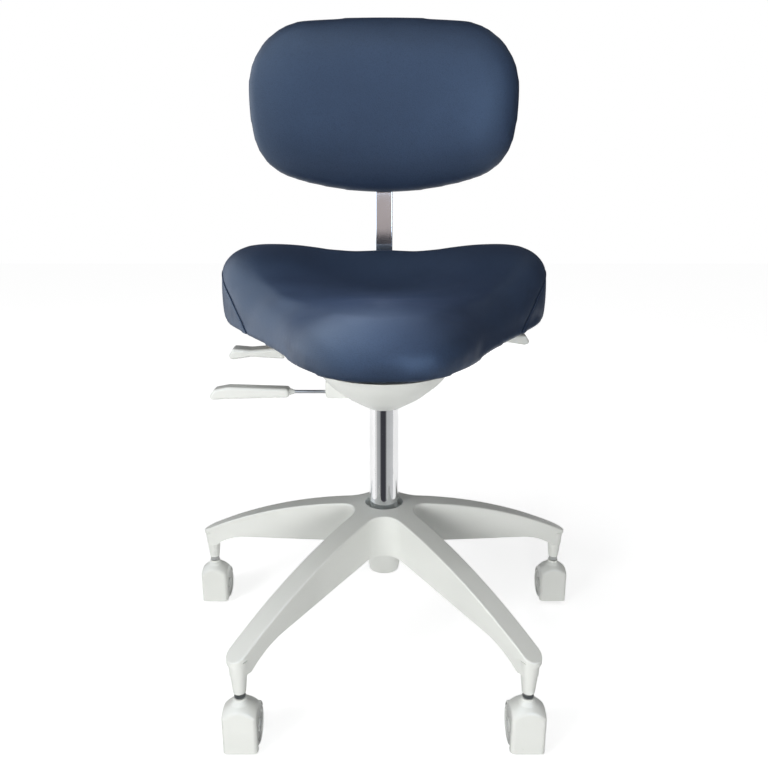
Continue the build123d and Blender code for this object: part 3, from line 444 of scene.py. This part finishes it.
# %% [markdown]
# ## The backrest pad
# The backrest is a rounded oblong, crowned towards the sitter. The cover is pulled over a moulded shell,
# so the rear face is held against it and the crown swells forward.

# %% Fill the backrest
back_pad = fill_cushion("back_cushion", "back_pad", voxel=0.005, pressure=1.5, reach=0.006,
                        held=lambda facing: facing[:, 1] > 0.75)
back_pad.data.materials.append(leatherette)
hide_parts("back_cushion")
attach(back_pad, "backrest")
print("backrest faces:", len(back_pad.data.polygons))

# %% [markdown]
# ## Seams
# The saddle's cover is two panels: a top, and a band round the sides and the cantle. Where they are sewn the
# leatherette dips, and a thin welt lies in the dip. The line is given as heights along the seat; rays cast
# at the pad from outside find where it lies on the swollen skin, so the seam sits on the surface all round.

# %% Seam helpers
def line_on(piece, middle, headings, height_at):
    """Points on a piece where level rays from all headings meet it, at heights that depend on the place."""
    found = []
    for heading in headings:
        away = Vector((math.sin(heading), math.cos(heading), 0.0))
        spot = middle + 0.2 * away
        for step in range(4):
            start = Vector((middle.x + 0.5 * away.x, middle.y + 0.5 * away.y, height_at(spot.y)))
            hit, place, normal, face = piece.ray_cast(start, -away)
            spot = place if hit else spot
        found.append(spot)
    return np.array(found)


def ring_on(piece, middle, headings):
    """Points on a piece where rays in one upright plane, from all round, meet it."""
    found = []
    for heading in headings:
        away = Vector((math.sin(heading), 0.0, math.cos(heading)))
        hit, place, normal, face = piece.ray_cast(middle + 0.5 * away, -away)
        found.append(place)
    return np.array(found)


def evened(path, rounds, closed):
    """Take the small steps out of a path; an open one keeps its ends."""
    for turn in range(rounds):
        mean = (np.roll(path, 1, axis=0) + np.roll(path, -1, axis=0)) / 2
        if not closed:
            mean[0], mean[-1] = path[0], path[-1]
        path = (path + mean) / 2
    return path


def press_groove(piece, path, width, depth):
    """Push the skin in along a path."""
    points = points_of(piece)
    inward = -normals_of(piece)
    near = np.full(len(points), 1.0)
    for spot in path:
        near = np.minimum(near, np.linalg.norm(points - spot, axis=1))
    points += inward * (depth * np.exp(-(near / width) ** 2))[:, None]
    set_points(piece, points)


def sew_welt(name, path, radius, closed, body):
    """A thin round welt along a path, as a tube."""
    curve = bpy.data.curves.new(name, "CURVE")
    curve.dimensions = "3D"
    curve.bevel_depth = radius
    curve.bevel_resolution = 3
    line = curve.splines.new("POLY")
    line.points.add(len(path) - 1)
    line.points.foreach_set("co", np.hstack([path, np.ones((len(path), 1))]).ravel())
    line.use_cyclic_u = closed
    curve.use_fill_caps = not closed
    welt = bpy.data.objects.new(name, curve)
    bpy.context.scene.collection.objects.link(welt)
    pick(welt)
    bpy.ops.object.convert(target="MESH")
    bpy.ops.object.shade_smooth()
    welt = bpy.context.object
    welt.data.materials.append(leatherette)
    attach(welt, body)
    return welt

# %% [markdown]
# On the saddle the line starts at the lower edge beside the front of each wing, climbs along the rim of the
# side and runs level round the back.

# %% Sew the saddle
seat_level = 0.4456
seat_lean = math.radians(5.0)
seam_rise = [(0.000, 0.004), (0.020, 0.022), (0.045, 0.043), (0.081, 0.066), (0.110, 0.072), (0.140, 0.069),
             (0.160, 0.062), (0.175, 0.058)]


def saddle_seam_height(along):
    rise = float(np.interp(along, [a for a, r in seam_rise], [r for a, r in seam_rise]))
    return seat_level + rise * math.cos(seat_lean) + along * math.sin(seat_lean)


headings = np.radians(np.linspace(-106.0, 106.0, 260))
saddle_middle = Vector((0.0, 0.05, 0.0))
saddle_seam = evened(line_on(saddle, saddle_middle, headings, saddle_seam_height), 6, closed=False)
press_groove(saddle, saddle_seam, width=0.0028, depth=0.0014)
saddle_welt = sew_welt("saddle_welt", saddle_seam, radius=0.0010, closed=False, body="seat")
stitched = np.linalg.norm(np.diff(saddle_seam, axis=0), axis=1).sum()
print("saddle seam:", round(float(stitched), 3), "m, welt faces:", len(saddle_welt.data.polygons))

# %% [markdown]
# The backrest's cover is closed round its rear edge, just in front of the shell, with a fuller piping. It
# lies behind the widest part of the pad, so the front of the backrest stays plain.

# %% Sew the backrest
shell_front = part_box("back_shell")[0][1]
pad_low, pad_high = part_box("back_cushion")
piping_middle = Vector((0.0, shell_front - 0.0065, (pad_low[2] + pad_high[2]) / 2))
around = np.linspace(0.0, 2.0 * math.pi, 240, endpoint=False)
back_seam = evened(ring_on(back_pad, piping_middle, around), 6, closed=True)
press_groove(back_pad, back_seam, width=0.0026, depth=0.0012)
back_welt = sew_welt("back_welt", back_seam, radius=0.0017, closed=True, body="backrest")
print("back piping faces:", len(back_welt.data.polygons))

# %% [markdown]
# ## Floor
# The stool stands on a pale sheet. The floor carries the shadow, and a glow that only the camera and mirrors
# see lifts it to white, a little more far away than under the stool.

# %% Floor
near_lift, far_lift = 0.62, 0.78
near_reach, far_reach = 0.45, 1.6
bpy.ops.object.select_all(action="DESELECT")
bpy.ops.mesh.primitive_plane_add(size=12.0, location=(0.0, 0.0, 0.0))
floor = bpy.context.object
floor.name = "studio_floor"
sheet = bpy.data.materials.new("floor_sheet")
sheet.use_nodes = True
tree = sheet.node_tree
shader = tree.nodes["Principled BSDF"]
shader.inputs["Base Color"].default_value = (0.9, 0.9, 0.9, 1.0)
shader.inputs["Roughness"].default_value = 0.9
shader.inputs["Specular IOR Level"].default_value = 0.0
ray = add_node(tree, "LightPath")
glow = add_node(tree, "Math", {0: ray.outputs["Is Camera Ray"], 1: ray.outputs["Is Glossy Ray"]},
                operation="MAXIMUM")
place = add_node(tree, "TexCoord").outputs["Object"]
reach = add_node(tree, "VectorMath", {0: place}, operation="LENGTH").outputs["Value"]
spread = add_node(tree, "MapRange", {"Value": reach})
spread.inputs["From Min"].default_value = near_reach
spread.inputs["From Max"].default_value = far_reach
spread.inputs["To Min"].default_value = near_lift
spread.inputs["To Max"].default_value = far_lift
lifted = add_node(tree, "Math", {0: glow.outputs["Value"], 1: spread.outputs["Result"]},
                  operation="MULTIPLY")
shader.inputs["Emission Color"].default_value = (1.0, 1.0, 1.0, 1.0)
tree.links.new(lifted.outputs["Value"], shader.inputs["Emission Strength"])
floor.data.materials.append(sheet)
print("floor:", floor.name)

# %% [markdown]
# ## World
# The room gives a weak even light from all round. Where the camera, a mirror or clear plastic looks straight
# at it, it is white.

# %% World
room_light, backdrop_white = 0.22, 1.0
world = bpy.data.worlds.new("studio")
bpy.context.scene.world = world
world.use_nodes = True
tree = world.node_tree
background = tree.nodes["Background"]
background.inputs["Color"].default_value = (1.0, 1.0, 1.0, 1.0)
ray = add_node(tree, "LightPath")
seen = add_node(tree, "Math", {0: ray.outputs["Is Camera Ray"], 1: ray.outputs["Is Glossy Ray"]},
                operation="MAXIMUM")
clear = add_node(tree, "Math", {0: seen.outputs["Value"], 1: ray.outputs["Is Transmission Ray"]},
                 operation="MAXIMUM")
level = span(tree, clear.outputs["Value"], room_light, backdrop_white)
tree.links.new(level, background.inputs["Strength"])
print("world:", world.name)

# %% [markdown]
# ## What the shine looks at
# Chrome and leatherette show the room as much as themselves. A photographer stands cards round the set:
# bright ones in front and on the left for the sheen of the leather, a small one close over the saddle for the
# light on its front mound, dark ones above, behind, on the right and low in front so that the tops stay deep,
# and a banded one that draws the dark stripe down the column. The cards are seen in reflections only: they
# throw no shade and no light.

# %% Reflection cards
def card(name, middle, size, turn, glow, stops, one_sided=False):
    """A flat card whose glow follows a ramp from edge to edge; a one-sided card is black on its back."""
    bpy.ops.object.select_all(action="DESELECT")
    bpy.ops.mesh.primitive_plane_add(size=1.0, location=middle, rotation=[math.radians(v) for v in turn])
    board = bpy.context.object
    board.name = name
    board.scale = (*size, 1.0)
    bpy.ops.object.transform_apply(location=True, rotation=True, scale=True)
    material = bpy.data.materials.new(name)
    material.use_nodes = True
    tree = material.node_tree
    tree.nodes.clear()
    flat = add_node(tree, "TexCoord").outputs["UV"]
    across = add_node(tree, "SeparateXYZ", {"Vector": flat}).outputs["X"]
    shine = add_node(tree, "Emission", {"Color": ramp(tree, across, stops)}, Strength=glow)
    if one_sided:
        back = add_node(tree, "NewGeometry").outputs["Backfacing"]
        tree.links.new(span(tree, back, glow, 0.0), shine.inputs["Strength"])
    add_node(tree, "OutputMaterial", {"Surface": shine.outputs["Emission"]})
    board.data.materials.append(material)
    board.visible_camera = False
    board.visible_diffuse = False
    board.visible_shadow = False
    board.visible_transmission = False
    return board


upright = (90, 0, 0)
sideways = (90, 0, 90)
lying = (0, 0, 0)
face_down = (180, 0, 0)
sky = (0.80, 0.90, 1.0)
shade = (0.05, 0.05, 0.06)
dim = (0.10, 0.10, 0.11)
stripe = (0.07, 0.062, 0.062)
card("column_card", (0.0, -0.13, 0.21), (1.0, 0.42), upright, 1.0,
     [(0.26, (0.95, 0.95, 0.95)), (0.32, (0.50, 0.51, 0.52)), (0.42, (0.40, 0.41, 0.42)), (0.45, shade),
      (0.525, shade), (0.55, (0.55, 0.56, 0.57)), (0.8, (0.66, 0.67, 0.68))])
card("room_card", (0.0, -1.6, 1.09), (4.4, 1.22), upright, 7.0,
     [(0.0, (0.10, 0.13, 0.18)), (0.40, (0.22, 0.28, 0.36)), (0.46, stripe), (0.54, stripe),
      (0.60, (0.48, 0.60, 0.80)), (1.0, (0.68, 0.83, 1.0))])
card("skirt_card", (0.0, -1.6, 0.24), (4.4, 0.48), upright, 1.0, [(0.0, shade), (1.0, shade)])
card("mound_card", (-0.06, -0.13, 0.636), (0.36, 0.30), face_down, 4.4,
     [(0.0, (0.85, 0.93, 1.0)), (0.45, (0.62, 0.72, 0.90)), (1.0, (0.18, 0.22, 0.32))], one_sided=True)
card("window_card", (-0.95, -1.0, 1.95), (1.5, 1.3), (48, 0, -42), 3.0, [(0.0, sky), (1.0, sky)])
card("ground_card", (0.0, -0.80, 0.004), (1.3, 1.3), lying, 1.0, [(0.0, (0.12, 0.12, 0.13)), (1.0, dim)])
card("left_card", (-1.6, -0.5, 1.0), (3.2, 1.6), sideways, 2.9,
     [(0.4, (0.50, 0.55, 0.60)), (0.65, (0.84, 0.90, 0.98))])
card("right_card", (1.6, 0.0, 1.2), (4.0, 2.4), sideways, 1.0, [(0.0, dim), (1.0, shade)])
card("rear_card", (0.0, 1.6, 1.45), (3.2, 2.9), upright, 1.0, [(0.0, dim), (1.0, shade)])
card("ceiling_card", (0.0, 0.2, 2.9), (3.2, 2.8), lying, 1.0, [(0.0, dim), (1.0, (0.06, 0.06, 0.07))])

# %% [markdown]
# ## Lamps
# A softbox on the left is the key, a wide one hangs above, a low one near the camera opens the shaded sides,
# and a weak one behind does the same for the back. They light the surfaces and leave the shine to the cards.
# They are set so that an off-white moulding facing the light comes out as its own colour and does not clip.

# %% Lamps
def softbox(name, place, aim, size, power):
    data = bpy.data.lights.new(name, "AREA")
    data.shape = "DISK"
    data.size = size
    data.energy = power
    lamp = bpy.data.objects.new(name, data)
    bpy.context.scene.collection.objects.link(lamp)
    lamp.location = place
    lamp.rotation_euler = (Vector(aim) - Vector(place)).to_track_quat("-Z", "Y").to_euler()
    lamp.visible_glossy = False
    return lamp


softbox("overhead", (-0.30, -0.45, 2.3), aim=(0.0, 0.0, 0.4), size=1.2, power=4.0)
softbox("left_key", (-1.5, -1.5, 1.25), aim=(0.0, 0.0, 0.4), size=0.9, power=19.0)
softbox("front_fill", (0.0, -1.9, 0.30), aim=(0.0, 0.0, 0.2), size=0.5, power=15.0)
softbox("rear_fill", (0.9, 2.2, 0.9), aim=(0.0, 0.0, 0.4), size=0.9, power=7.0)
